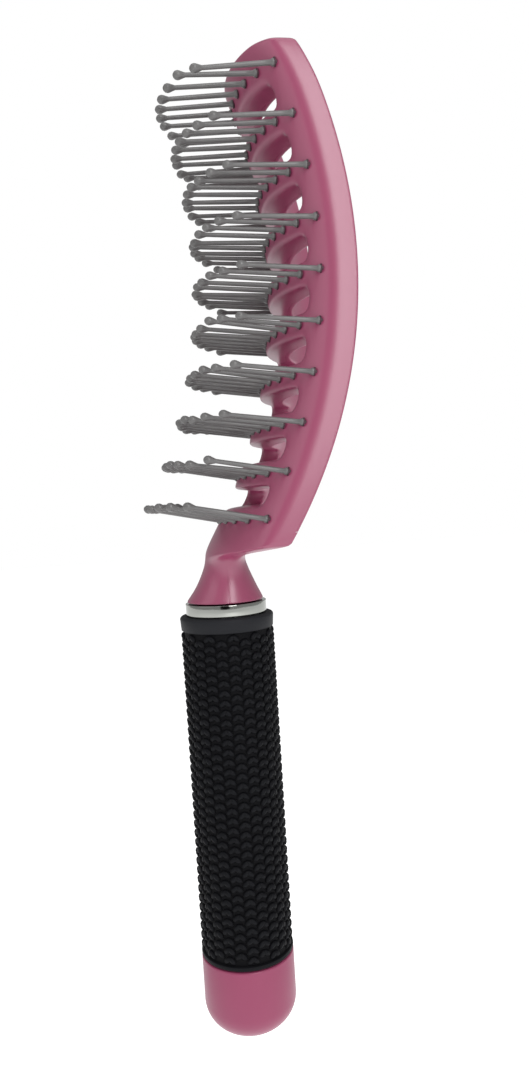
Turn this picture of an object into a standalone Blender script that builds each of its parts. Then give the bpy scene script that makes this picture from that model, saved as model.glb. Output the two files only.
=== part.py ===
"""A hand-held hair brush: a curved, vented head with rows of ball-tipped pins, on a rubber-gripped handle.

The origin is the middle of the grip, on its axis. +Z runs along the handle to the tip of the head, -Y is the
side that the pins are on, and the head is symmetric about X = 0. Sizes are in millimetres, and heights on
the head, neck and pins are measured from the top of the ferrule ring. Objects are made in metres.
"""

import math

import bmesh
import bpy
from mathutils import Matrix, Vector

MM = 0.001
GAP = 0.3  # left between pieces that meet

# Handle
GRIP_LENGTH = 86.6
GRIP_RADIUS = 11.8
GRIP_WALL = 2.3
CORE_WALL = 1.6
RING_RADIUS = 10.2
RING_HEIGHT = 2.8
RING_LEDGE = 0.6  # by which the ring stands out from the neck
TANG_CLEARANCE = 0.7  # round the tang, inside the core
TANG_LENGTH = 34.0
CAP_SIDE = 11.8
CAP_DOME = 8.6
CAP_SPIGOT = 16.0

# Head: the face is an arch across the head, carried along a curved crest line
HEAD_BOTTOM = 11.8
HEAD_TOP = 129.7
HEAD_HALF_WIDTH = 23.0
WIDEST_HEIGHT = 46.0
TIP_NARROWING = 2.1  # how much less the half width is at the top
ARCH_RADIUS = 29.3
CREST_HEIGHT = 83.1  # where the crest line lies furthest back
CREST_SETBACK = 16.1
CREST_RADIUS = 130.5
HEAD_DEPTH = 6.9  # of frame and cover together, at the lower end
TIP_THINNING = 0.5  # how much less the depth is at the top
COVER_DEPTH = 1.4
FOOT_TOP = 17.0  # below this the frame alone is as deep as the head
EDGE_ROUND = 2.2
TOP_CORNER_RADIUS = 4.0
LOW_CORNER_RADIUS = 1.8
CORNER_RISE = 2.0  # how much higher the lower corners are than the middle of the lower edge
NECK_OPENING = 9.0  # half the width over which the lower edge is level

# Rows of pins, evenly spaced along the crest line, with a vent between each two
ROWS = 10
TOP_ROW_ANGLE = 18.03  # degrees round the crest line, from where it lies furthest back
ROW_STEP = 5.196
PINS_IN_TOP_ROW = 9
PINS_IN_A_ROW = 10
OUTER_PIN_INSET = 2.2
RIB_HEIGHT = 5.9
VENT_INSET = 5.2
VENT_CORNER = 2.1
PIN_RADIUS = 0.65
PIN_LENGTH = 19.6
PIN_SIDES = 6
TIP_RADIUS = 1.15
TIP_LENGTH = 2.6
LEVEL_HEIGHT = 95.0  # where a pin stands square to the handle
LEAN_PER_MM = 0.0030  # radians
CARRIER_HEIGHT = 2.4
CARRIER_DEPTH = 1.0
SKIN = 1.7  # of the frame, in front of a pin carrier

# How finely curves are divided
TURN_STEPS = 40
NECK_SIDES = 28
HEAD_COLUMNS = 20
HEAD_LINES = 22
CARRIER_COLUMNS = 14
SIDE_STEPS = 10
LOW_CORNER_STEPS = 3
CORNER_STEPS = 4
DOME_STEPS = 7
SHARP_ANGLE = 30  # degrees

RING_TOP = GRIP_LENGTH / 2 + GAP + RING_HEIGHT
CUT_MARGIN = 0.8  # by which a solid passes what trims it
CORE_RADIUS = GRIP_RADIUS - GRIP_WALL - GAP
CORE_BORE = CORE_RADIUS - CORE_WALL
TANG_RADIUS = CORE_BORE - TANG_CLEARANCE
NECK_BASE_RADIUS = RING_RADIUS - RING_LEDGE

# The neck's height, front, back and half width, from its base up into the head
NECK_STATIONS = (
    (GAP, -NECK_BASE_RADIUS, NECK_BASE_RADIUS, NECK_BASE_RADIUS),
    (3.4, -7.3, 8.8, 8.6),
    (6.8, -5.4, 7.4, 8.2),
    (9.6, -4.1, 7.0, 8.6),
    (12.0, -3.9, 5.6, 10.4),
    (16.4, 0.0, 3.8, 12.0),
)

PINK = (0.50, 0.13, 0.23)
GREY = (0.20, 0.20, 0.20)
BLACK = (0.013, 0.013, 0.016)
SILVER = (0.75, 0.75, 0.73)


def clear_scene():
    for obj in list(bpy.data.objects):
        bpy.data.objects.remove(obj, do_unlink=True)


def new_collection(name):
    collection = bpy.data.collections.new(name)
    bpy.context.scene.collection.children.link(collection)
    return collection


def material(name, colour, roughness, metallic=0.0):
    made = bpy.data.materials.new(name)
    made.use_nodes = True
    shader = made.node_tree.nodes["Principled BSDF"]
    shader.inputs["Base Color"].default_value = (*colour, 1.0)
    shader.inputs["Roughness"].default_value = roughness
    shader.inputs["Metallic"].default_value = metallic
    return made


def object_from(bm, name, collection):
    """An object, in metres, from a bmesh in millimetres whose heights start at the top of the ring."""
    bmesh.ops.transform(bm, matrix=Matrix.Translation((0, 0, RING_TOP)), verts=bm.verts)
    bmesh.ops.scale(bm, vec=(MM, MM, MM), verts=bm.verts)
    bmesh.ops.recalc_face_normals(bm, faces=bm.faces)
    mesh = bpy.data.meshes.new(name)
    bm.to_mesh(mesh)
    bm.free()
    obj = bpy.data.objects.new(name, mesh)
    collection.objects.link(obj)
    return obj


def cutter_from(bm, name):
    obj = object_from(bm, name, CUTTERS)
    obj.hide_render = True
    obj.display_type = "WIRE"
    return obj


def combine(obj, other, operation):
    """Adds a Boolean modifier, with Blender's exact solver."""
    boolean = obj.modifiers.new(f"{operation.lower()} {other.name}", "BOOLEAN")
    boolean.operation = operation
    boolean.object = other
    boolean.solver = "EXACT"


def finish(obj, surface):
    obj.data.materials.append(surface)
    obj.data.shade_smooth()
    obj.data.set_sharp_from_angle(angle=math.radians(SHARP_ANGLE))


def crest(height):
    """How far behind the handle's axis the middle of the face is."""
    drop = CREST_RADIUS - math.sqrt(CREST_RADIUS**2 - (height - CREST_HEIGHT) ** 2)
    return CREST_SETBACK - drop


def face(x, height):
    return crest(height) + ARCH_RADIUS - math.sqrt(ARCH_RADIUS**2 - x**2)


def half_width(height):
    share = (height - WIDEST_HEIGHT) / (HEAD_TOP - WIDEST_HEIGHT)
    return HEAD_HALF_WIDTH - TIP_NARROWING * share**2


def head_depth(height):
    """How far the back of the cover is behind the face."""
    share = (height - HEAD_BOTTOM) / (HEAD_TOP - HEAD_BOTTOM)
    return HEAD_DEPTH - TIP_THINNING * share**3


def frame_depth(height):
    return head_depth(height) - COVER_DEPTH - GAP


def cover_front(height):
    return head_depth(height) - COVER_DEPTH


def at_depth(depth):
    """A layer's front or back surface: the same depth at every height."""
    return lambda height: depth


def edge_setback(x, height):
    """How far the rounded edge of the face falls behind the face itself."""
    into_round = abs(x) - (half_width(height) - EDGE_ROUND)
    if into_round <= 0:
        return 0.0
    into_round = min(into_round, EDGE_ROUND)
    return EDGE_ROUND - math.sqrt(EDGE_ROUND**2 - into_round**2)


def curved_slab(half, low, high, front, back, columns, lines, rounded=False):
    """A closed slab that follows the face. Its front and back are functions of height that give depths."""
    bm = bmesh.new()
    bmesh.ops.create_grid(bm, x_segments=columns, y_segments=lines, size=1)
    for vert in bm.verts:
        height = low + (high - low) * (vert.co.y + 1) / 2
        x = vert.co.x * half
        setback = edge_setback(x, height) if rounded else 0.0
        vert.co = (x, face(x, height) + front(height) + setback, height)
    extruded = bmesh.ops.extrude_face_region(bm, geom=bm.faces[:])["geom"]
    for item in extruded:
        if isinstance(item, bmesh.types.BMVert):
            item.co.y = face(item.co.x, item.co.z) + back(item.co.z)
    return bm


def arc(centre, radius, start, end, steps):
    """Points on an arc, with its angles in degrees."""
    points = []
    for step in range(steps + 1):
        angle = math.radians(start + (end - start) * step / steps)
        points.append((centre[0] + radius * math.cos(angle), centre[1] + radius * math.sin(angle)))
    return points


def head_outline():
    """The head seen from the front, as X and height, anticlockwise."""
    low_corner = HEAD_BOTTOM + CORNER_RISE
    right = [(NECK_OPENING, HEAD_BOTTOM)]
    centre = (half_width(low_corner) - LOW_CORNER_RADIUS, low_corner + LOW_CORNER_RADIUS)
    right += arc(centre, LOW_CORNER_RADIUS, -80, 0, LOW_CORNER_STEPS)
    side_low = centre[1]
    side_high = HEAD_TOP - TOP_CORNER_RADIUS
    for step in range(1, SIDE_STEPS):
        height = side_low + (side_high - side_low) * step / SIDE_STEPS
        right.append((half_width(height), height))
    centre = (half_width(side_high) - TOP_CORNER_RADIUS, side_high)
    right += arc(centre, TOP_CORNER_RADIUS, 0, 90, CORNER_STEPS)
    left = [(-x, height) for x, height in reversed(right)]
    return right + left


def prism(outline, low, high):
    """A closed solid with this outline of X and height, from Y = low to Y = high."""
    bm = bmesh.new()
    verts = [bm.verts.new((x, low, height)) for x, height in outline]
    bm.faces.new(verts)
    extruded = bmesh.ops.extrude_face_region(bm, geom=bm.faces[:])["geom"]
    for item in extruded:
        if isinstance(item, bmesh.types.BMVert):
            item.co.y = high
    return bm


def join(bm, other):
    """Puts a second bmesh into the first."""
    mesh = bpy.data.meshes.new("joined")
    other.to_mesh(mesh)
    other.free()
    bm.from_mesh(mesh)
    bpy.data.meshes.remove(mesh)


def row_height(row):
    """The height of a row of pins. Half way between two rows is the middle of a vent."""
    return CREST_HEIGHT + CREST_RADIUS * math.sin(math.radians(TOP_ROW_ANGLE - ROW_STEP * row))


def pin_places(row):
    """The X of each pin in a row."""
    count = PINS_IN_TOP_ROW if row == 0 else PINS_IN_A_ROW
    outer = half_width(row_height(row)) - OUTER_PIN_INSET
    return [outer * (2 * pin / (count - 1) - 1) for pin in range(count)]


def pin_frame(row, x):
    """A matrix whose origin is where the pin leaves the face and whose Z runs out along the pin."""
    height = row_height(row)
    lean = LEAN_PER_MM * (LEVEL_HEIGHT - height)
    outwards = Vector((0, -math.cos(lean), math.sin(lean)))
    turn = outwards.to_track_quat("Z", "X").to_matrix().to_4x4()
    return Matrix.Translation((x, face(x, height), height)) @ turn


def vent_outline(row):
    """The vent below a row, as X and height."""
    middle = (row_height(row) + row_height(row + 1)) / 2
    rise = (row_height(row) - row_height(row + 1) - RIB_HEIGHT) / 2 - VENT_CORNER
    reach = half_width(middle) - VENT_INSET - VENT_CORNER
    corners = ((reach, -rise, -90), (reach, rise, 0), (-reach, rise, 90), (-reach, -rise, 180))
    outline = []
    for x, above, start in corners:
        outline += arc((x, middle + above), VENT_CORNER, start, start + 90, CORNER_STEPS)
    return outline


def vent_cutter():
    bm = bmesh.new()
    for row in range(ROWS - 1):
        join(bm, prism(vent_outline(row), -HEAD_TOP, HEAD_TOP))
    return cutter_from(bm, "vents")


def carrier_slab(row, margin, front, back):
    """A row's pin carrier, or with a margin the groove for it."""
    rise = CARRIER_HEIGHT / 2 + margin
    reach = pin_places(row)[-1] + rise
    height = row_height(row)
    return curved_slab(reach, height - rise, height + rise, front, back, CARRIER_COLUMNS, 1)


def groove_cutter():
    """The grooves, open to the back of the frame, that hold the pin carriers."""
    bm = bmesh.new()
    for row in range(ROWS):
        join(bm, carrier_slab(row, GAP, at_depth(SKIN), head_depth))
    return cutter_from(bm, "carrier grooves")


def hole_cutter():
    bm = bmesh.new()
    hole_radius = PIN_RADIUS + GAP
    length = 2 * (SKIN + GAP + CARRIER_DEPTH)
    for row in range(ROWS):
        for x in pin_places(row):
            made = bmesh.ops.create_cone(
                bm, cap_ends=True, segments=PIN_SIDES, depth=length,
                radius1=hole_radius, radius2=hole_radius,
            )
            bmesh.ops.transform(bm, matrix=pin_frame(row, x), verts=made["verts"])
    return cutter_from(bm, "pin holes")


def neck_solid():
    """The neck: a round base that narrows to a waist and runs up into the head."""
    bm = bmesh.new()
    rings = []
    for index, (height, front, back, half) in enumerate(NECK_STATIONS):
        ends = index in (0, len(NECK_STATIONS) - 1)
        made = bmesh.ops.create_circle(bm, cap_ends=ends, segments=NECK_SIDES, radius=1)["verts"]
        for vert in made:
            vert.co = (vert.co.x * half, (front + back) / 2 + vert.co.y * (back - front) / 2, height)
        rings.append(made)
    for lower, upper in zip(rings, rings[1:]):
        both = set(lower) | set(upper)
        edges = {edge for vert in both for edge in vert.link_edges if set(edge.verts) <= both}
        loops = [edge for edge in edges if edge.verts[0].co.z == edge.verts[1].co.z]
        bmesh.ops.bridge_loops(bm, edges=loops)
    return bm


def tang_solid():
    """The round tang under the neck, which goes down through the ring into the handle core."""
    bm = bmesh.new()
    top = NECK_STATIONS[1][0]
    made = bmesh.ops.create_cone(
        bm, cap_ends=True, segments=NECK_SIDES, depth=TANG_LENGTH + top,
        radius1=TANG_RADIUS, radius2=TANG_RADIUS,
    )
    bmesh.ops.translate(bm, vec=(0, 0, (top - TANG_LENGTH) / 2), verts=made["verts"])
    return bm


def head_layer(low, high, front, back, rounded=False):
    """A layer of the head, a little wider than its outline."""
    half = HEAD_HALF_WIDTH + CUT_MARGIN
    return curved_slab(half, low, high, front, back, HEAD_COLUMNS, HEAD_LINES, rounded)


def foot_solid():
    """The deep lower end of the frame, which the cover stops short of."""
    half = HEAD_HALF_WIDTH + CUT_MARGIN
    low = HEAD_BOTTOM - CUT_MARGIN
    return curved_slab(half, low, FOOT_TOP, at_depth(EDGE_ROUND), head_depth, HEAD_COLUMNS, 1)


def make_head():
    """The front frame with its neck and tang, and the cover that closes its back."""
    vents = vent_cutter()
    low = HEAD_BOTTOM - CUT_MARGIN
    high = HEAD_TOP + CUT_MARGIN
    outline = cutter_from(prism(head_outline(), -HEAD_TOP, HEAD_TOP), "outline")

    frame = object_from(head_layer(low, high, at_depth(0), frame_depth, rounded=True), "head_frame", PARTS)
    combine(frame, cutter_from(foot_solid(), "foot"), "UNION")
    combine(frame, outline, "INTERSECT")
    combine(frame, cutter_from(neck_solid(), "neck"), "UNION")
    combine(frame, cutter_from(tang_solid(), "tang"), "UNION")
    combine(frame, vents, "DIFFERENCE")
    combine(frame, groove_cutter(), "DIFFERENCE")
    combine(frame, hole_cutter(), "DIFFERENCE")
    finish(frame, material("pink plastic", PINK, 0.32))

    cover = object_from(head_layer(FOOT_TOP + GAP, high, cover_front, head_depth), "head_back_cover", PARTS)
    combine(cover, outline, "INTERSECT")
    combine(cover, vents, "DIFFERENCE")
    finish(cover, material("pink cover plastic", PINK, 0.30))


def pin_profile():
    """Half the outline of a pin, from its root in the carrier to its tip, as radius and distance."""
    root = -(SKIN + GAP + CARRIER_DEPTH / 2)
    shoulder = PIN_LENGTH - TIP_LENGTH
    points = [(0, root), (PIN_RADIUS, root), (PIN_RADIUS, shoulder)]
    points.append((TIP_RADIUS, PIN_LENGTH - TIP_RADIUS))
    points.append((0, PIN_LENGTH))
    return points


def pins_solid(row):
    bm = bmesh.new()
    profile = pin_profile()
    for x in pin_places(row):
        pin = bmesh.new()
        verts = [pin.verts.new((radius, 0, distance)) for radius, distance in profile]
        edges = [pin.edges.new(pair) for pair in zip(verts, verts[1:])]
        bmesh.ops.spin(
            pin, geom=verts + edges, axis=(0, 0, 1), cent=(0, 0, 0), angle=math.tau,
            steps=PIN_SIDES, use_merge=True,
        )
        bmesh.ops.remove_doubles(pin, verts=pin.verts, dist=0.01)
        bmesh.ops.transform(pin, matrix=pin_frame(row, x), verts=pin.verts)
        bmesh.ops.recalc_face_normals(pin, faces=pin.faces)
        join(bm, pin)
    return bm


def make_pin_strips():
    """Each row of pins stands on a thin curved carrier that lies in a groove behind the frame's skin."""
    grey = material("grey nylon", GREY, 0.42)
    for row in range(ROWS):
        name = f"pin_strip_{row + 1:02d}"
        front = at_depth(SKIN + GAP)
        back = at_depth(SKIN + GAP + CARRIER_DEPTH)
        carrier = carrier_slab(row, 0, front, back)
        strip = object_from(carrier, name, PARTS)
        combine(strip, cutter_from(pins_solid(row), f"pins {row + 1}"), "UNION")
        finish(strip, grey)


def turned(name, profile, surface):
    """A round piece from a profile of radius and height that runs down its outer side."""
    bm = bmesh.new()
    verts = [bm.verts.new((radius * MM, 0, height * MM)) for radius, height in profile]
    closed = profile[0][0] > 0
    pairs = list(zip(verts, verts[1:]))
    if closed:
        pairs.append((verts[-1], verts[0]))
    for pair in pairs:
        bm.edges.new(pair)
    mesh = bpy.data.meshes.new(name)
    bm.to_mesh(mesh)
    bm.free()
    obj = bpy.data.objects.new(name, mesh)
    PARTS.objects.link(obj)
    screw = obj.modifiers.new("turn", "SCREW")
    screw.axis = "Z"
    screw.steps = TURN_STEPS
    screw.render_steps = TURN_STEPS
    screw.use_merge_vertices = True
    screw.merge_threshold = 0.00005
    screw.use_smooth_shade = True
    obj.data.materials.append(surface)
    return obj


def tube(name, outer, inner, top, bottom, surface):
    return turned(name, [(outer, top), (outer, bottom), (inner, bottom), (inner, top)], surface)


def make_ring():
    silver = material("bright ring metal", SILVER, 0.18, 1.0)
    tube("ferrule_ring", RING_RADIUS, TANG_RADIUS + GAP, RING_TOP, RING_TOP - RING_HEIGHT, silver)


def make_handle():
    """The core tube with the rubber sleeve over it, between the ring and the end cap."""
    top = GRIP_LENGTH / 2
    black = material("black rubber", BLACK, 0.6)
    core_plastic = material("core plastic", GREY, 0.5)
    tube("grip_sleeve", GRIP_RADIUS, CORE_RADIUS + GAP, top, -top, black)
    tube("handle_core", CORE_RADIUS, CORE_BORE, top, -top, core_plastic)
    make_cap(-top - GAP, CORE_BORE - GAP)


def make_cap(top, spigot_radius):
    """The end cap: a plug inside the core, a short side and a domed end."""
    edge = top - CAP_SIDE
    plug_top = top + CAP_SPIGOT
    profile = [(0, plug_top), (spigot_radius, plug_top), (spigot_radius, top), (GRIP_RADIUS, top)]
    for step in range(DOME_STEPS):
        angle = math.pi / 2 * step / DOME_STEPS
        profile.append((GRIP_RADIUS * math.cos(angle), edge - CAP_DOME * math.sin(angle)))
    profile.append((0, edge - CAP_DOME))
    turned("end_cap", profile, material("pink cap plastic", PINK, 0.32))


clear_scene()
PARTS = new_collection("vented curved hair brush")
CUTTERS = new_collection("cutters")
make_head()
make_pin_strips()
make_ring()
make_handle()
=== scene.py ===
"""The finished look of a hand-held vented hair brush, built round its CAD frame.

Sizes are in millimetres and heights are measured from the top of the ferrule ring, until a piece is settled
into the frame, which is in metres. +Z runs to the tip of the head and -Y is the side that the pins are on.
"""

import math
import random

import bmesh
import bpy
from mathutils import Matrix, Vector


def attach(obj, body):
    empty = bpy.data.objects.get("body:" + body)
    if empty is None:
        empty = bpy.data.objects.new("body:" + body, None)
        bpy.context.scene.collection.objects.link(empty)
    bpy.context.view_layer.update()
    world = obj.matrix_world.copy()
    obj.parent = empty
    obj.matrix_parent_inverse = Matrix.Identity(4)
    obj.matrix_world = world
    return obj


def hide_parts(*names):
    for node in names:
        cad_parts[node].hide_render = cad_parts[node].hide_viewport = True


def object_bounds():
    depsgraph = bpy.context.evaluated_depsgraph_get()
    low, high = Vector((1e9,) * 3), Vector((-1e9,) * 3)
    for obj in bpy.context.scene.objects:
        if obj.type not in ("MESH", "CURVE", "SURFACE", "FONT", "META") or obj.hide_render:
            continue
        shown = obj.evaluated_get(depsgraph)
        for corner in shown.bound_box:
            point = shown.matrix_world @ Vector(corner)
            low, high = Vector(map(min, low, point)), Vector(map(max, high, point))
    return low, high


MM = 0.001
GAP = 0.3  # left between the pieces of the handle
SEAM = 0.05  # between the frame and the cover
NEAR = 0.01  # slack in a test of a point's place or angle

# Handle
GRIP_LENGTH = 86.6
GRIP_RADIUS = 11.8
GRIP_BORE = 9.5
RING_RADIUS = 10.2
RING_HEIGHT = 2.8
RING_BORE = 7.2
RING_TOP = GRIP_LENGTH / 2 + GAP + RING_HEIGHT
TANG_RADIUS = 6.9
TANG_LENGTH = 34.0
CAP_SIDE = 11.8
CAP_DOME = 8.6
SPIGOT_RADIUS = 7.3
SPIGOT_LENGTH = 16.0

# Head
HEAD_BOTTOM = 11.8
HEAD_TOP = 129.68
HEAD_HALF_WIDTH = 23.0
WIDEST_HEIGHT = 46.0
TIP_NARROWING = 2.1
ARCH_RADIUS = 29.3
CREST_HEIGHT = 83.1
CREST_SETBACK = 16.1
CREST_RADIUS = 130.5
HEAD_DEPTH = 6.9
TIP_THINNING = 0.5
COVER_DEPTH = 1.4
FOOT_TOP = 17.0
EDGE_ROUND = 1.4
BACK_ROUND = 1.0
TOP_CORNER_RADIUS = 4.0
LOW_CORNER_RADIUS = 1.8
CORNER_RISE = 2.0
CHIN_TOP = 15.5
CHIN_FALL = 0.8
HEEL_DEPTH = 5.7
HEEL_ROUND = 1.5
HEEL_SLOPE = 0.16
FOOT_CORNER = 12.0  # the foot's back edge is rounded only further out than this
FRAME_LOW_LINES = (0.0, 0.8, 2.2)  # the cage's lines above its lower end
COVER_LOW_LINES = (0.0, 1.0)

# Pins and vents
ROWS = 10
TOP_ROW_ANGLE = 18.03
ROW_STEP = 5.196
PINS_IN_TOP_ROW = 9
PINS_IN_A_ROW = 10
OUTER_PIN_INSET = 2.2
RIB_HEIGHT = 5.9
VENT_INSET = 5.2
VENT_RIM = 0.7  # bevels of the rims, before the surface is smoothed
OUTER_RIM = 0.3
COVER_VENT_RIM = 0.4
COVER_OUTER_RIM = 0.25
VENT_DRAFT = 0.08  # how much narrower the vents are at the back, as a share of their width
RIB_DRAFT = 0.22  # how much taller the ribs are at the back, as a share of their height
PIN_RADIUS = 0.61
# the dark disc round a pin's foot, which is painted with the shade of the hole that the pin stands in
HOLE_SHADE_RADIUS = 1.08
WOBBLE = 0.014  # radians: the usual stray of a pin from its row's lean, each way
PIN_LENGTH = 19.5
TIP_RADIUS = 1.04
LEVEL_HEIGHT = 95.0
LEAN_PER_MM = 0.0030

# The cage that the head is drawn on: insets from its outline, and columns as shares of a vent's half width
EDGE_INSETS = (0.0, 0.5, 1.4)
VENT_COLUMNS = (0.2, 0.4, 0.6, 0.85, 1.0)
NECK_COLUMN = 0.6
SLAB = 40.0  # a spacing in Y that keeps the cage's layers apart until their depths are set
WALL_SLOPE = 0.3  # a face whose normal has less Y than this is a wall
FLAT_SLOPE = 0.8  # and one with more Y than this is the front or back of a layer
SEAM_REACH = 0.3  # how far from the seam's depth an edge still belongs to the seam

# The neck's height, front, back and half width, from the head down to its base and the tang under it
NECK_BASE_RADIUS = RING_RADIUS - 0.6
TANG_TOP_RADIUS = TANG_RADIUS + 0.3
EASE = 0.4  # of the small bevels at the neck's base and the tang's end
NECK_SECTIONS = (
    (10.6, -4.4, 5.5, 9.6),
    (9.2, -4.7, 5.9, 8.8),
    (6.8, -5.7, 6.8, 8.3),
    (3.4, -7.4, 8.2, 8.7),
    (GAP + EASE, -NECK_BASE_RADIUS, NECK_BASE_RADIUS, NECK_BASE_RADIUS),
    (GAP, -NECK_BASE_RADIUS, NECK_BASE_RADIUS, NECK_BASE_RADIUS),
    (GAP, EASE - NECK_BASE_RADIUS, NECK_BASE_RADIUS - EASE, NECK_BASE_RADIUS - EASE),
    (GAP, -TANG_TOP_RADIUS, TANG_TOP_RADIUS, TANG_TOP_RADIUS),
    (-0.2, -TANG_RADIUS, TANG_RADIUS, TANG_RADIUS),
    (EASE - TANG_LENGTH, -TANG_RADIUS, TANG_RADIUS, TANG_RADIUS),
    (-TANG_LENGTH, EASE - TANG_RADIUS, TANG_RADIUS - EASE, TANG_RADIUS - EASE),
)

# Texture of the grip: columns of V-shaped ridges, each made of two leaves
COLLAR_HEIGHT = 3.6
FOOT_RIM = 1.3
GROUND_RADIUS = 11.1
V_COLUMNS = 24
V_ROWS = 34
LEAF_LENGTH = 2.4
LEAF_WIDTH = 1.5
LEAF_TILT = 50.0
LEAF_SPREAD = 0.19  # of a leaf from the middle of its column, as a share of the column


# ---- placing and shaping ----


def deselect_all():
    bpy.ops.object.select_all(action="DESELECT")


def only(obj):
    deselect_all()
    obj.select_set(True)
    bpy.context.view_layer.objects.active = obj


def named(obj, name):
    obj.name = name
    obj.data.name = name
    return obj


def edit(obj):
    only(obj)
    bpy.ops.object.mode_set(mode="EDIT")


def leave_edit():
    bpy.ops.object.mode_set(mode="OBJECT")


def choose(obj, kind, test):
    """In edit mode, selects only the faces or only the edges that pass a test."""
    bpy.ops.mesh.select_mode(type=kind)
    bpy.ops.mesh.select_all(action="DESELECT")
    bm = bmesh.from_edit_mesh(obj.data)
    items = bm.faces if kind == "FACE" else bm.edges
    for item in items:
        if test(item):
            item.select_set(True)
    bmesh.update_edit_mesh(obj.data)


def extrude(offset):
    bpy.ops.mesh.extrude_region_move(TRANSFORM_OT_translate={"value": offset})


def apply_modifier(obj, kind, **settings):
    only(obj)
    modifier = obj.modifiers.new(kind.title(), kind)
    for setting, value in settings.items():
        setattr(modifier, setting, value)
    bpy.ops.object.modifier_apply(modifier=modifier.name)


def face_outwards(obj):
    edit(obj)
    bpy.ops.mesh.select_all(action="SELECT")
    bpy.ops.mesh.normals_make_consistent(inside=False)
    leave_edit()


def settle(obj, angle=35.0):
    """Puts a piece that was made in millimetres into the frame, with its place in its mesh."""
    obj.data.transform(Matrix.Scale(MM, 4) @ Matrix.Translation((0, 0, RING_TOP)))
    only(obj)
    bpy.ops.object.shade_smooth_by_angle(angle=math.radians(angle))
    deselect_all()


# ---- the curved face of the head ----


def face_behind_axis(x, height):
    """How far behind the handle's axis the face is: an arch across the head, carried along the crest line."""
    drop = CREST_RADIUS - math.sqrt(CREST_RADIUS**2 - (height - CREST_HEIGHT) ** 2)
    return CREST_SETBACK - drop + ARCH_RADIUS - math.sqrt(ARCH_RADIUS**2 - x**2)


def bend_at(x, height):
    """The face's curve, which stops at the ring, so that the tang stays straight."""
    return face_behind_axis(x, max(height, 0.0))


def half_width(height):
    share = (height - WIDEST_HEIGHT) / (HEAD_TOP - WIDEST_HEIGHT)
    return HEAD_HALF_WIDTH - TIP_NARROWING * share**2


def head_depth(height):
    share = (height - HEAD_BOTTOM) / (HEAD_TOP - HEAD_BOTTOM)
    return HEAD_DEPTH - TIP_THINNING * share**3


def cover_front(height):
    return head_depth(height) - COVER_DEPTH


def frame_back(height):
    return cover_front(height) - SEAM


def row_height(row):
    return CREST_HEIGHT + CREST_RADIUS * math.sin(math.radians(TOP_ROW_ANGLE - ROW_STEP * row))


def pin_places(row):
    count = PINS_IN_TOP_ROW if row == 0 else PINS_IN_A_ROW
    outer = half_width(row_height(row)) - OUTER_PIN_INSET
    return [outer * (2 * pin / (count - 1) - 1) for pin in range(count)]


def round_setback(inset, radius):
    """How far a rounded edge falls back at this distance in from the outline."""
    if inset >= radius:
        return 0.0
    into_round = radius - max(inset, 0.0)
    return radius - math.sqrt(radius**2 - into_round**2)


# ---- the head ----


def cage_columns(height):
    half = half_width(height)
    reach = half - VENT_INSET
    right = [share * reach for share in VENT_COLUMNS] + [half - inset for inset in reversed(EDGE_INSETS)]
    return [-x for x in reversed(right)] + right


def cage_lines(bottom):
    """The heights of the cage's lines, which follow the upper and lower edges of the vents."""
    lines = list(bottom)
    for row in reversed(range(ROWS)):
        if row < ROWS - 1:
            lines.append(row_height(row) - RIB_HEIGHT / 2)
        if row > 0:
            lines.append(row_height(row) + RIB_HEIGHT / 2)
    return lines + [HEAD_TOP - inset for inset in reversed(EDGE_INSETS)]


def rounded_corner(side, end, radius):
    """Moves a point, given by its distances in from a side and an end, to suit a rounded corner."""
    if side >= radius or end >= radius:
        return side, end
    across = radius - side
    along = radius - end
    scale = max(across, along) / math.hypot(across, along)
    return radius - across * scale, radius - along * scale


def in_a_vent(x, height):
    if abs(x) > half_width(height) - VENT_INSET:
        return False
    for row in range(ROWS - 1):
        if row_height(row + 1) + RIB_HEIGHT / 2 < height < row_height(row) - RIB_HEIGHT / 2:
            return True
    return False


def head_cage(name, bottom, low_radius):
    """A flat cage of the head's outline, at Y = 0, with its vents open and its lower corners rounded."""
    lines = cage_lines(bottom)
    columns = len(cage_columns(0)) - 1
    deselect_all()
    bpy.ops.mesh.primitive_grid_add(x_subdivisions=columns, y_subdivisions=len(lines) - 1, size=1)
    cage = named(bpy.context.object, name)
    low = lines[0]
    for vert in cage.data.vertices:
        column = round((vert.co.x + 0.5) * columns)
        height = lines[round((vert.co.y + 0.5) * (len(lines) - 1))]
        x = cage_columns(height)[column]
        half = half_width(height)
        side, end = rounded_corner(half - abs(x), HEAD_TOP - height, TOP_CORNER_RADIUS)
        side, start = rounded_corner(side, height - low, low_radius)
        moved = math.copysign(half - side, x)
        height = low + start if start < low_radius else HEAD_TOP - end
        vert.co = (moved, 0, height + lower_edge_rise(moved, height, low))
    edit(cage)
    choose(cage, "FACE", lambda item: in_a_vent(item.calc_center_median().x, item.calc_center_median().z))
    bpy.ops.mesh.delete(type="FACE")
    leave_edit()
    return cage


def lower_edge_rise(x, height, low):
    """The lower edge rises towards its corners; the rise dies out above it."""
    if low > HEAD_BOTTOM:
        return 0.0
    opening = NECK_COLUMN * (half_width(low) - VENT_INSET)
    outwards = max(0.0, abs(x) - opening) / (half_width(low) - opening)
    fade = max(0.0, 1 - (height - low) / (FOOT_TOP - low))
    return CORNER_RISE * outwards * fade


def inset_at(x, height):
    """How far in from the nearest edge of the outline a point is, without the lower edge at the neck."""
    side = half_width(height) - abs(x)
    across = TOP_CORNER_RADIUS - side
    along = TOP_CORNER_RADIUS - (HEAD_TOP - height)
    if across > 0 and along > 0:
        return TOP_CORNER_RADIUS - math.hypot(across, along)
    return min(side, HEAD_TOP - height)


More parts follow.
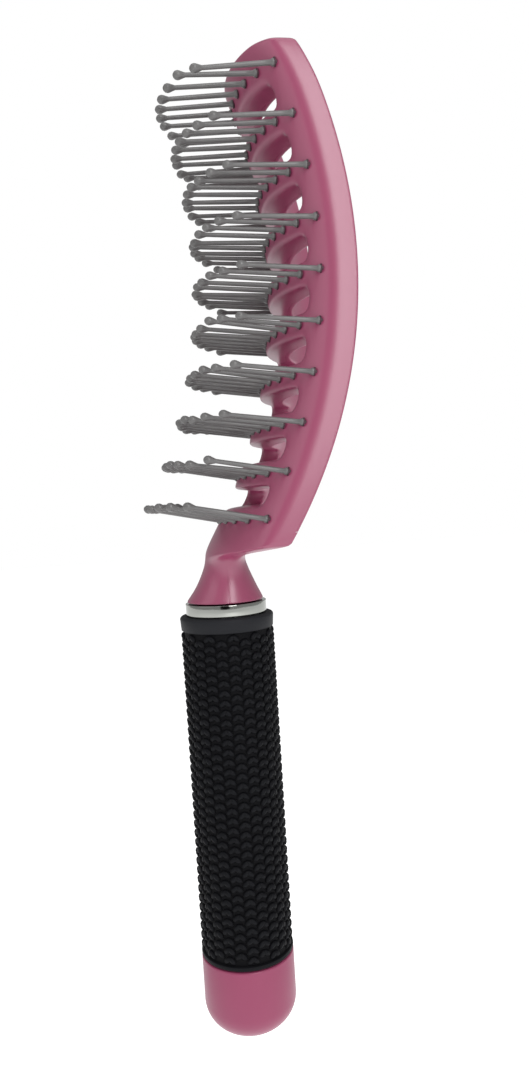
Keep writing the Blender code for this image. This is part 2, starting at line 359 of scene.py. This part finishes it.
def thicken(cage, front, back, front_round, back_round):
    """Gives a cage its depth: front and back are functions of height, in flat space."""
    edit(cage)
    bpy.ops.mesh.select_all(action="SELECT")
    extrude((0, SLAB, 0))
    leave_edit()
    for vert in cage.data.vertices:
        x, depth, height = vert.co
        inset = inset_at(x, height)
        if depth < SLAB / 2:
            vert.co.y = front(height) + round_setback(inset, front_round)
        else:
            vert.co.y = SLAB + back(height) - round_setback(inset, back_round)


def chin_fall(height):
    """How far the face falls back, just above the neck."""
    return CHIN_FALL * max(0.0, (CHIN_TOP - height) / (CHIN_TOP - HEAD_BOTTOM)) ** 2


def heel_depth(x, height):
    """How far behind the face the back of the neck is, where it runs up into the foot."""
    heel = HEEL_DEPTH - HEEL_ROUND * (x / NECK_SECTIONS[0][3]) ** 2 - HEEL_SLOPE * (height - HEAD_BOTTOM)
    return heel - face_behind_axis(x, height)


def drop_layers(cage):
    """Closes up the spacing that kept the cage's layers apart, and narrows the vents towards the back."""
    for vert in cage.data.vertices:
        vert.co.y -= SLAB * math.floor((vert.co.y + SLAB / 2) / SLAB)
        within_vents = abs(vert.co.x) < half_width(vert.co.z) - VENT_INSET + NEAR
        if within_vents and vert.co.z > FOOT_TOP + 1:
            depth_share = vert.co.y / HEAD_DEPTH
            nearest = min(range(ROWS), key=lambda row: abs(vert.co.z - row_height(row)))
            from_row = vert.co.z - row_height(nearest)
            if abs(from_row) < RIB_HEIGHT / 2 + NEAR:
                vert.co.z += from_row * RIB_DRAFT * depth_share
            vert.co.x *= 1 - VENT_DRAFT * depth_share


def is_back_of_foot(item):
    middle = item.calc_center_median()
    return middle.y > SLAB / 2 and middle.z < FOOT_TOP and abs(item.normal.y) > 0.5


def add_foot(cage):
    """Deepens the lower end of the frame to the depth of frame and cover together."""
    edit(cage)
    choose(cage, "FACE", is_back_of_foot)
    extrude((0, SLAB, 0))
    leave_edit()
    for vert in cage.data.vertices:
        x, depth, height = vert.co
        if depth > SLAB * 1.5:
            inset = min(inset_at(x, height), max(0.0, height - HEAD_BOTTOM))
            fall = round_setback(inset, BACK_ROUND) if abs(x) > FOOT_CORNER else 0.0
            vert.co.y = 2 * SLAB + max(head_depth(height) - fall, heel_depth(x, height))


def place_section(cage, section):
    """Puts the selected end of the neck onto an oval section, with its rim's points evenly spaced."""
    height, front, back, half = section
    bm = bmesh.from_edit_mesh(cage.data)
    chosen = [vert for vert in bm.verts if vert.select]
    rim = [vert for vert in chosen if not all(item.select for item in vert.link_faces)]
    width = max(abs(vert.co.x) for vert in rim)
    depths = {vert: vert.co.y + bend_at(vert.co.x, vert.co.z) for vert in rim}
    middle = (max(depths.values()) + min(depths.values())) / 2
    reach = (max(depths.values()) - min(depths.values())) / 2
    angles = {vert: math.atan2((depths[vert] - middle) / reach, vert.co.x / width) for vert in rim}
    first = min(abs(angle) for angle in angles.values()) + NEAR
    ordered = sorted(rim, key=lambda vert: (angles[vert] + first) % math.tau)
    grow = 1 / (1 - (1 - math.cos(math.tau / len(rim))) / 3)
    for index, vert in enumerate(ordered):
        angle = math.tau * index / len(rim)
        x = half * grow * math.cos(angle)
        y = (front + back) / 2 + (back - front) / 2 * grow * math.sin(angle)
        vert.co = (x, y - bend_at(x, height), height)
    for vert in chosen:
        if vert not in rim:
            x = vert.co.x / width * half * 0.9
            vert.co = (x, (front + back) / 2 - bend_at(x, height), height)
    bmesh.update_edit_mesh(cage.data)


def add_neck(cage):
    """Draws the middle of the lower end down through the neck's sections to the tang."""
    edit(cage)
    opening = NECK_COLUMN * (half_width(HEAD_BOTTOM) - VENT_INSET)
    choose(cage, "FACE", lambda item: item.calc_center_median().z < HEAD_BOTTOM + NEAR
           and abs(item.calc_center_median().x) < opening)
    for section in NECK_SECTIONS:
        extrude((0, 0, -1))
        place_section(cage, section)
    leave_edit()


def is_rim(edge):
    """Whether an edge lies between a wall and the front or back of a layer."""
    if len(edge.link_faces) != 2:
        return False
    slopes = sorted(abs(item.normal.y) for item in edge.link_faces)
    return slopes[0] < WALL_SLOPE and slopes[1] > FLAT_SLOPE


def in_the_vents(edge):
    middle = (edge.verts[0].co + edge.verts[1].co) / 2
    inside = abs(middle.x) < half_width(middle.z) - VENT_INSET + 0.1
    return inside and row_height(ROWS - 1) < middle.z < row_height(0)


def depth_of(edge):
    return (edge.verts[0].co.y + edge.verts[1].co.y) / 2


def is_foot_joint(edge, seam):
    """Whether an edge belongs to the step where the cover stops above the foot."""
    level = all(abs(vert.co.z - FOOT_TOP) < 3 * SEAM for vert in edge.verts)
    return level and depth_of(edge) > seam(FOOT_TOP) - SEAM_REACH


def off_seam(edge, seam):
    """How far an edge is from the seam's depth."""
    return abs(depth_of(edge) - seam(edge.verts[0].co.z))


def round_rims(cage, seam, vent_rim, outer_rim):
    """Rounds the rims of a layer, but keeps those sharp that meet the other layer, at the seam's depth."""
    edit(cage)
    choose(cage, "EDGE", lambda edge: is_foot_joint(edge, seam))
    bpy.ops.transform.edge_crease(value=1.0)
    choose(cage, "EDGE", lambda edge: is_rim(edge) and off_seam(edge, seam) < SEAM_REACH)
    bpy.ops.transform.edge_crease(value=1.0)
    choose(cage, "EDGE", lambda edge: is_rim(edge) and in_the_vents(edge)
           and off_seam(edge, seam) > SEAM_REACH)
    bpy.ops.mesh.bevel(offset=vent_rim, segments=1, affect="EDGES")
    choose(cage, "EDGE", lambda edge: is_rim(edge) and not in_the_vents(edge)
           and edge.verts[0].co.z > HEAD_BOTTOM + 1 and off_seam(edge, seam) > SEAM_REACH)
    bpy.ops.mesh.bevel(offset=outer_rim, segments=1, affect="EDGES")
    leave_edit()


def bend(obj):
    """Bends a flat piece of the head to the curve of its face."""
    for vert in obj.data.vertices:
        vert.co.y += bend_at(vert.co.x, vert.co.z)


def make_head_frame():
    lines = [HEAD_BOTTOM + rise for rise in FRAME_LOW_LINES] + [FOOT_TOP]
    cage = head_cage("head_front_frame", lines, LOW_CORNER_RADIUS)
    thicken(cage, chin_fall, frame_back, EDGE_ROUND, 0.0)
    add_foot(cage)
    drop_layers(cage)
    face_outwards(cage)
    add_neck(cage)
    round_rims(cage, frame_back, VENT_RIM, OUTER_RIM)
    face_outwards(cage)
    apply_modifier(cage, "SUBSURF", levels=2, render_levels=2)
    bend(cage)
    settle(cage)
    return cage


def make_back_cover():
    lines = [FOOT_TOP + 2 * SEAM + rise for rise in COVER_LOW_LINES]
    cage = head_cage("head_back_cover_skin", lines, 0.0)
    thicken(cage, cover_front, head_depth, 0.0, BACK_ROUND)
    drop_layers(cage)
    face_outwards(cage)
    round_rims(cage, cover_front, COVER_VENT_RIM, COVER_OUTER_RIM)
    face_outwards(cage)
    apply_modifier(cage, "SUBSURF", levels=2, render_levels=2)
    bend(cage)
    settle(cage)
    return cage


# ---- round pieces ----


def turned(name, profile, sides, closed=False):
    """A round piece drawn up from a circle through a profile of radius and height."""
    deselect_all()
    radius, height = profile[0]
    bpy.ops.mesh.primitive_circle_add(vertices=sides, radius=radius, location=(0, 0, height))
    piece = named(bpy.context.object, name)
    bpy.ops.object.transform_apply(location=True, rotation=False, scale=False)
    edit(piece)
    bpy.ops.mesh.select_all(action="SELECT")
    for (radius, height), (next_radius, next_height) in zip(profile, profile[1:]):
        extrude((0, 0, next_height - height))
        scale = next_radius / radius
        bpy.ops.transform.resize(value=(scale, scale, 1))
    bpy.ops.mesh.select_all(action="SELECT")
    if closed:
        bpy.ops.mesh.remove_doubles(threshold=0.001)
    else:
        bpy.ops.mesh.fill_holes(sides=0)
    leave_edit()
    face_outwards(piece)
    return piece


def quarter(radius, height, round_radius, start, end, steps):
    """Profile points round a corner, about a centre at this radius and height, with angles in degrees."""
    points = []
    for step in range(steps + 1):
        angle = math.radians(start + (end - start) * step / steps)
        points.append((radius + round_radius * math.cos(angle), height + round_radius * math.sin(angle)))
    return points


def make_ring():
    low = -RING_HEIGHT
    bright_edge = 0.12
    profile = [(RING_BORE, low)]
    profile += quarter(RING_RADIUS - bright_edge, low + bright_edge, bright_edge, -90, 0, 4)
    profile += quarter(RING_RADIUS - bright_edge, -bright_edge, bright_edge, 0, 90, 4)
    profile += [(RING_BORE, 0), (RING_BORE, low)]
    ring = turned("ferrule_ring_bright", profile, 96, closed=True)
    settle(ring)
    return ring


def make_cap():
    top = -RING_HEIGHT - 2 * GAP - GRIP_LENGTH
    side_end = top - CAP_SIDE
    edge = 0.4
    profile = [(SPIGOT_RADIUS, top + SPIGOT_LENGTH), (SPIGOT_RADIUS, top)]
    profile += quarter(GRIP_RADIUS - edge, top - edge, edge, 90, 0, 3)
    steps = 16
    for step in range(steps + 1):
        angle = math.radians(88 * step / steps)
        profile.append((GRIP_RADIUS * math.cos(angle) ** 0.92, side_end - CAP_DOME * math.sin(angle)))
    cap = turned("domed_end_cap", profile, 96)
    settle(cap)
    return cap


# ---- the grip ----


def make_leaf():
    """One leaf of a V: a low, smooth ridge lying along its length, at the origin and facing +X."""
    deselect_all()
    bpy.ops.mesh.primitive_uv_sphere_add(segments=8, ring_count=5, radius=1)
    leaf = named(bpy.context.object, "leaf")
    for vert in leaf.data.vertices:
        across, along, out = vert.co.x, vert.co.z, vert.co.y
        vert.co = (out, across * LEAF_WIDTH / 2, along * LEAF_LENGTH / 2)
    return leaf


def repeated(name, model, places):
    """One mesh with a copy of the model's mesh at each place."""
    verts = []
    faces = []
    for place in places:
        start = len(verts)
        verts += [place @ vert.co for vert in model.data.vertices]
        faces += [[start + index for index in item.vertices] for item in model.data.polygons]
    mesh = bpy.data.meshes.new(name)
    mesh.from_pydata(verts, [], faces)
    slots = [item.material_index for item in model.data.polygons]
    mesh.polygons.foreach_set("material_index", slots * len(places))
    obj = bpy.data.objects.new(name, mesh)
    bpy.context.scene.collection.objects.link(obj)
    return obj


def leaf_places():
    """Where the leaves go: V after V down each column, all the way round the grip."""
    top = -RING_HEIGHT - GAP - COLLAR_HEIGHT
    bottom = -RING_HEIGHT - GAP - GRIP_LENGTH + FOOT_RIM
    pitch = (top - bottom) / V_ROWS
    relief = GRIP_RADIUS - GROUND_RADIUS
    places = []
    for column in range(V_COLUMNS):
        stagger = column % 2
        for row in range(V_ROWS - stagger):
            height = top - pitch * (row + (1 + stagger) / 2)
            for side in (-1, 1):
                turn = math.tau * (column + LEAF_SPREAD * side) / V_COLUMNS
                place = Matrix.Rotation(turn, 4, "Z")
                place = place @ Matrix.Translation((GROUND_RADIUS, 0, height))
                place = place @ Matrix.Rotation(math.radians(LEAF_TILT) * side, 4, "X")
                place = place @ Matrix.Diagonal((relief, 1, 1, 1))
                places.append(place)
    return places


def make_grip():
    top = -RING_HEIGHT - GAP
    bottom = top - GRIP_LENGTH
    edge = 0.7
    profile = [(GRIP_BORE, bottom), (GRIP_RADIUS - 0.5, bottom)]
    profile += quarter(GRIP_RADIUS - 0.4, bottom + 0.4, 0.4, -90, 0, 3)
    profile += [(GRIP_RADIUS - 0.1, bottom + FOOT_RIM - 0.3), (GROUND_RADIUS, bottom + FOOT_RIM)]
    profile += [(GROUND_RADIUS, top - COLLAR_HEIGHT - 0.2), (GRIP_RADIUS - 0.2, top - COLLAR_HEIGHT + 0.2)]
    profile += quarter(GRIP_RADIUS - edge, top - edge, edge, 0, 90, 5)
    profile += [(GRIP_BORE, top), (GRIP_BORE, bottom)]
    sleeve = turned("rubber_grip", profile, 96, closed=True)
    leaf = make_leaf()
    leaves = repeated("leaves", leaf, leaf_places())
    bpy.data.objects.remove(leaf)
    face_outwards(leaves)
    deselect_all()
    leaves.select_set(True)
    sleeve.select_set(True)
    bpy.context.view_layer.objects.active = sleeve
    bpy.ops.object.join()
    settle(sleeve, 50)
    return sleeve


# ---- the pins ----


def make_pin():
    """One pin, standing on the origin along +Z, with a bead at its foot and a ball at its tip, and under the
    bead a thin dark disc of painted shade that stands for the shaded hole round the pin.
    """
    shoulder = PIN_LENGTH - 2.9
    profile = [
        (PIN_RADIUS, -2.4),
        (PIN_RADIUS, -0.25),
        (HOLE_SHADE_RADIUS, -0.2),
        (HOLE_SHADE_RADIUS, 0.05),
        (0.86, 0.07),
        (0.92, 0.35),
        (0.8, 0.65),
        (PIN_RADIUS, 0.85),
        (PIN_RADIUS, 3.0),
        (PIN_RADIUS * 0.84, shoulder),
        (0.74, shoulder + 0.7),
        (0.96, shoulder + 1.35),
        (TIP_RADIUS, PIN_LENGTH - 1.1),
        (0.88, PIN_LENGTH - 0.5),
        (0.48, PIN_LENGTH - 0.12),
        (0.12, PIN_LENGTH),
    ]
    pin = turned("pin", profile, 12)
    # The disc and the shank below it wear the second slot, the painted shade of the hole round the pin.
    for polygon in pin.data.polygons:
        if polygon.center.z < 0.06:
            polygon.material_index = 1
    return pin


def pin_matrix(row, x, stray):
    """Where a pin stands: stray holds how far it leans sideways and upwards from its row's lean."""
    height = row_height(row)
    lean = LEAN_PER_MM * (LEVEL_HEIGHT - height) + stray[1]
    outwards = Vector((stray[0], -math.cos(lean), math.sin(lean)))
    turn = outwards.to_track_quat("Z", "X").to_matrix().to_4x4()
    return Matrix.Translation((x, face_behind_axis(x, height), height)) @ turn


def make_pin_rows():
    pin = make_pin()
    chance = random.Random(4)
    rows = []
    for row in range(ROWS):
        places = []
        for x in pin_places(row):
            stray = (chance.gauss(0, WOBBLE), chance.gauss(0, WOBBLE))
            places.append(pin_matrix(row, x, stray))
        piece = repeated(f"pin_row_{row + 1:02d}", pin, places)
        settle(piece, 50)
        rows.append(piece)
    bpy.data.objects.remove(pin)
    return rows


# ---- materials ----


class Value:
    """A shader socket that can be used in arithmetic, which adds its Math nodes."""

    def __init__(self, shader, socket):
        self.shader = shader
        self.socket = socket

    def maths(self, operation, *others, swap=False):
        terms = [self, *others]
        if swap:
            terms.reverse()
        return self.shader.node("ShaderNodeMath", {"operation": operation}, dict(enumerate(terms)))

    def __add__(self, other):
        return self.maths("ADD", other)

    def __radd__(self, other):
        return self.maths("ADD", other)

    def __sub__(self, other):
        return self.maths("SUBTRACT", other)

    def __rsub__(self, other):
        return self.maths("SUBTRACT", other, swap=True)

    def __mul__(self, other):
        return self.maths("MULTIPLY", other)

    def __rmul__(self, other):
        return self.maths("MULTIPLY", other)


class Shader:
    """A material, and the one way its nodes are added."""

    def __init__(self, name):
        self.material = bpy.data.materials.new(name)
        self.material.use_nodes = True
        self.tree = self.material.node_tree
        self.surface = self.tree.nodes["Principled BSDF"]
        self.place = self.node("ShaderNodeTexCoord", {}, {}, "Object")

    def fill(self, node, inputs):
        for key, value in inputs.items():
            if isinstance(value, Value):
                self.tree.links.new(value.socket, node.inputs[key])
            else:
                node.inputs[key].default_value = value

    def node(self, kind, settings, inputs, output=0):
        """Adds a node: its settings first, then the numbers and links of its sockets."""
        made = self.tree.nodes.new(kind)
        for setting, value in settings.items():
            setattr(made, setting, value)
        self.fill(made, inputs)
        return Value(self, made.outputs[output])

    def noise(self, size, detail=2.0, stretch=(1, 1, 1)):
        """Noise from 0 to 1 whose features are about this size in metres."""
        place = self.node("ShaderNodeVectorMath", {"operation": "MULTIPLY"}, {0: self.place, 1: stretch})
        return self.node("ShaderNodeTexNoise", {}, {"Vector": place, "Scale": 1 / size, "Detail": detail})

    def ramp(self, value, low, high):
        """0 below low and 1 above high, smoothly."""
        settings = {"interpolation_type": "SMOOTHSTEP"}
        return self.node("ShaderNodeMapRange", settings, {"Value": value, "From Min": low, "From Max": high})

    def blend(self, factor, first, second):
        """A colour between two others."""
        first = (*first, 1.0) if isinstance(first, tuple) else first
        second = (*second, 1.0) if isinstance(second, tuple) else second
        return self.node("ShaderNodeMix", {"data_type": "RGBA"}, {0: factor, 6: first, 7: second}, 2)

    def axis(self, letter):
        return self.node("ShaderNodeSeparateXYZ", {}, {0: self.place}, letter)

    def parting_line(self):
        """1 on a fine line up both sides of the neck, 0 elsewhere."""
        off_line = self.axis("Y").maths("ABSOLUTE")
        above_neck = self.ramp(self.axis("Z"), (RING_TOP + 7) * MM, (RING_TOP + 10) * MM)
        return (1 - self.ramp(off_line, 0.05 * MM, 0.22 * MM)) * (1 - above_neck)

    def bump(self, height, distance, strength=1.0):
        return self.node("ShaderNodeBump", {}, {"Height": height, "Distance": distance, "Strength": strength})

    def finish(self, **sockets):
        self.fill(self.surface, {name.replace("_", " "): value for name, value in sockets.items()})
        return self.material


def pink_plastic(name, colour, roughness, shine=0.7, parted=False):
    """Satin moulded plastic: faintly uneven colour and gloss, and a very fine orange-peel surface.

    A parted piece has the fine line of its mould's joint up the sides of the neck.
    """
    shader = Shader(name)
    cloud = shader.noise(0.03, 3.0)
    grain = shader.noise(0.0011, 2.0)
    light = tuple(channel * 1.06 for channel in colour)
    dark = tuple(channel * 0.93 for channel in colour)
    tone = shader.blend(cloud, dark, light)
    gloss = roughness - 0.05 + 0.06 * cloud + 0.04 * grain
    relief = 0.12 * grain
    if parted:
        relief = relief + shader.parting_line()
    normal = shader.bump(relief, 0.0001, 0.7)
    return shader.finish(
        Base_Color=tone, Roughness=gloss, Normal=normal,
        Specular_IOR_Level=shine, Coat_Weight=0.2, Coat_Roughness=0.2,
    )


def nylon(name):
    """Grey nylon pins, with a faintly uneven tone and gloss."""
    shader = Shader(name)
    cloud = shader.noise(0.004, 2.0)
    grain = shader.noise(0.0004, 2.0)
    tone = shader.blend(cloud, (0.085, 0.083, 0.084), (0.13, 0.126, 0.124))
    gloss = 0.30 + 0.12 * grain
    normal = shader.bump(grain, 0.00002, 0.3)
    return shader.finish(Base_Color=tone, Roughness=gloss, Normal=normal)


def painted_hole_shade(name):
    """Painted shade: a dark ring that stands for the shade in the hole round the foot of a pin."""
    shader = Shader(name)
    cloud = shader.noise(0.002, 2.0)
    tone = shader.blend(cloud, (0.035, 0.010, 0.018), (0.055, 0.016, 0.028))
    return shader.finish(Base_Color=tone, Roughness=0.6 + 0.1 * cloud)


def bright_metal(name):
    """Polished plated metal with the faint rings of its polishing."""
    shader = Shader(name)
    lines = shader.noise(0.004, 3.0, (1, 1, 40))
    cloud = shader.noise(0.006, 2.0)
    tone = shader.blend(cloud, (0.30, 0.31, 0.29), (0.37, 0.38, 0.355))
    gloss = 0.03 + 0.05 * lines
    normal = shader.bump(lines, 0.00001, 0.3)
    return shader.finish(Base_Color=tone, Roughness=gloss, Normal=normal, Metallic=1.0)


def rubber(name):
    """Black rubber: dull and dark on the ground between the ridges, a little greyer and glossier towards
    their tops.
    """
    shader = Shader(name)
    flat = shader.node("ShaderNodeVectorMath", {"operation": "MULTIPLY"}, {0: shader.place, 1: (1, 1, 0)})
    radius = shader.node("ShaderNodeVectorMath", {"operation": "LENGTH"}, {0: flat}, "Value")
    ridge_rise = shader.ramp(radius, GROUND_RADIUS * MM, GRIP_RADIUS * MM)
    cloud = shader.noise(0.006, 3.0)
    grain = shader.noise(0.0003, 2.0)
    collar_foot = GRIP_LENGTH / 2 - COLLAR_HEIGHT
    collar = shader.ramp(shader.axis("Z"), collar_foot * MM, (collar_foot + 0.2) * MM)
    # darker towards the ground between the ridges, lighter towards their tops
    ridged = shader.blend(ridge_rise * (0.5 + 0.5 * cloud), (0.0012, 0.0012, 0.002), (0.0045, 0.0048, 0.0065))
    tone = shader.blend(collar, ridged, (0.014, 0.0145, 0.017))
    gloss = 0.62 - 0.14 * ridge_rise + 0.1 * grain
    normal = shader.bump(grain, 0.00004, 0.5)
    return shader.finish(Base_Color=tone, Roughness=gloss, Normal=normal, Specular_IOR_Level=0.1)


def core_plastic(name):
    shader = Shader(name)
    cloud = shader.noise(0.02, 2.0)
    tone = shader.blend(cloud, (0.16, 0.16, 0.16), (0.22, 0.22, 0.22))
    return shader.finish(Base_Color=tone, Roughness=0.45 + 0.1 * cloud)


def wear(piece, *surfaces):
    for surface in surfaces:
        piece.data.materials.append(surface)


def wear_cad(node, surface):
    """Puts a finish on a CAD node, whose mesh is left as it is."""
    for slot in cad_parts[node].material_slots:
        slot.link = "OBJECT"
        slot.material = surface


# ---- stage ----

CAMERA_AZIMUTH = 80.73
CAMERA_ELEVATION = 2.553
CAMERA_ROLL = -3.511
CAMERA_PLACE = (0.20052, -0.02185, 0.02380 + RING_TOP * MM)
CAMERA_LENS = 26.61
SENSOR = 36.0
LIT_HEIGHT = 0.06  # that the lights point at, up the brush
ROOM_LIGHT = 0.45
DARK_SPOT = 15.0  # degrees round this camera's place in which the room is dark
DARK_SPOT_EDGE = 4.0  # degrees over which it fades in
DARK_SPOT_LIGHT = 0.02
FLOOR_DROP = 0.06
FLOOR_SIZE = 6.0
FLOOR_GLOW = 0.65  # lifts the floor to the backdrop's white, so that no horizon shows


def direction(azimuth, elevation):
    """A unit vector from the object; azimuth 0 is the side that the pins are on."""
    turn = math.radians(azimuth)
    rise = math.radians(elevation)
    return Vector((math.sin(turn) * math.cos(rise), -math.cos(turn) * math.cos(rise), math.sin(rise)))


def add_camera():
    camera = bpy.data.objects.new("camera", bpy.data.cameras.new("camera"))
    bpy.context.scene.collection.objects.link(camera)
    turn = direction(CAMERA_AZIMUTH, CAMERA_ELEVATION).to_track_quat("Z", "Y").to_matrix().to_4x4()
    roll = Matrix.Rotation(math.radians(CAMERA_ROLL), 4, "Z")
    camera.matrix_world = Matrix.Translation(CAMERA_PLACE) @ turn @ roll
    camera.data.lens = CAMERA_LENS
    camera.data.sensor_width = SENSOR
    camera.data.clip_start = 0.01
    bpy.context.scene.camera = camera


def add_light(name, azimuth, elevation, distance, width, height, power):
    light = bpy.data.objects.new(name, bpy.data.lights.new(name, "AREA"))
    bpy.context.scene.collection.objects.link(light)
    light.data.shape = "RECTANGLE"
    light.data.size = width
    light.data.size_y = height
    light.data.energy = power
    away = direction(azimuth, elevation)
    turn = away.to_track_quat("Z", "Y").to_matrix().to_4x4()
    light.matrix_world = Matrix.Translation(Vector((0, 0, LIT_HEIGHT)) + away * distance) @ turn


def add_lights():
    add_light("key", 103, 26, 0.8, 0.3, 0.7, 4.0)
    add_light("fill", 20, 30, 0.9, 0.6, 0.6, 1.0)
    add_light("top", 80, 80, 0.8, 0.6, 0.6, 1.5)


def add_world():
    """A grey room, dark where the camera stands, that is seen as a white backdrop."""
    world = bpy.data.worlds.new("studio")
    bpy.context.scene.world = world
    bpy.context.scene.view_settings.view_transform = "Standard"
    world.use_nodes = True
    tree = world.node_tree
    seen = tree.nodes.new("ShaderNodeLightPath")
    ahead = tree.nodes.new("ShaderNodeVectorMath")
    ahead.operation = "DOT_PRODUCT"
    ahead.inputs[1].default_value = direction(CAMERA_AZIMUTH, CAMERA_ELEVATION)
    tree.links.new(tree.nodes.new("ShaderNodeTexCoord").outputs["Generated"], ahead.inputs[0])
    room = tree.nodes.new("ShaderNodeMapRange")
    room.inputs["From Min"].default_value = math.cos(math.radians(DARK_SPOT))
    room.inputs["From Max"].default_value = math.cos(math.radians(DARK_SPOT - DARK_SPOT_EDGE))
    room.inputs["To Min"].default_value = ROOM_LIGHT
    room.inputs["To Max"].default_value = DARK_SPOT_LIGHT
    tree.links.new(ahead.outputs["Value"], room.inputs["Value"])
    colour = tree.nodes.new("ShaderNodeMix")
    colour.data_type = "RGBA"
    tree.links.new(room.outputs["Result"], colour.inputs[6])
    colour.inputs[7].default_value = (1, 1, 1, 1)
    tree.links.new(seen.outputs["Is Camera Ray"], colour.inputs[0])
    tree.links.new(colour.outputs[2], tree.nodes["Background"].inputs["Color"])


def add_floor():
    """A plain pale floor, a little below the handle's end."""
    deselect_all()
    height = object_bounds()[0].z - FLOOR_DROP
    bpy.ops.mesh.primitive_plane_add(size=FLOOR_SIZE, location=(0, 0, height))
    floor = named(bpy.context.object, "floor")
    shader = Shader("floor paper")
    cloud = shader.noise(0.4, 2.0)
    tone = shader.blend(cloud, (0.88, 0.88, 0.88), (0.92, 0.92, 0.92))
    paper = shader.finish(
        Base_Color=tone, Roughness=0.9, Emission_Color=(1, 1, 1, 1), Emission_Strength=FLOOR_GLOW
    )
    wear(floor, paper)


# ---- the brush ----

PINK = (0.25, 0.040, 0.096)

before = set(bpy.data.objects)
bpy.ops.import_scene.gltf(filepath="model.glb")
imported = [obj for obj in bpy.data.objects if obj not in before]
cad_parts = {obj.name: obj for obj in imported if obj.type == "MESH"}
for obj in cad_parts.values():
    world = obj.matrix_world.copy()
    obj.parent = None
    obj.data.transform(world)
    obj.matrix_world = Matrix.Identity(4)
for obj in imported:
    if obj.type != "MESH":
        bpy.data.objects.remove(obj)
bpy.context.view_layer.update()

head_frame = make_head_frame()
back_cover = make_back_cover()
ring = make_ring()
cap = make_cap()
grip = make_grip()
pin_rows = make_pin_rows()

pink = pink_plastic("pink plastic", PINK, 0.36, parted=True)
cover_pink = pink_plastic("pink cover plastic", PINK, 0.34)
cap_pink = pink_plastic("pink cap plastic", PINK, 0.42, shine=0.3)
grey_nylon = nylon("grey nylon")
# painted shade for the holes round the pins' feet
hole_shade_material = painted_hole_shade("painted hole shade")

finishes = [
    (head_frame, "head_frame", "head_plastic", pink),
    (back_cover, "head_back_cover", "cover_plastic", cover_pink),
    (ring, "ferrule_ring", "ring_metal", bright_metal("bright plated metal")),
    (cap, "end_cap", "cap_plastic", cap_pink),
    (grip, "grip_sleeve", "grip_rubber", rubber("black rubber")),
]
for index, piece in enumerate(pin_rows, 1):
    finishes.append((piece, f"pin_strip_{index:02d}", "pin_nylon", grey_nylon))

for piece, node, slot, surface in finishes:
    wear(piece, surface)
    if slot == "pin_nylon":
        # the pin rows' second finish is the painted shade of the holes round their feet
        wear(piece, hole_shade_material)
    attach(piece, "root")
    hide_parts(node)

wear_cad("handle_core", core_plastic("core plastic"))

add_floor()
add_camera()
add_lights()
add_world()
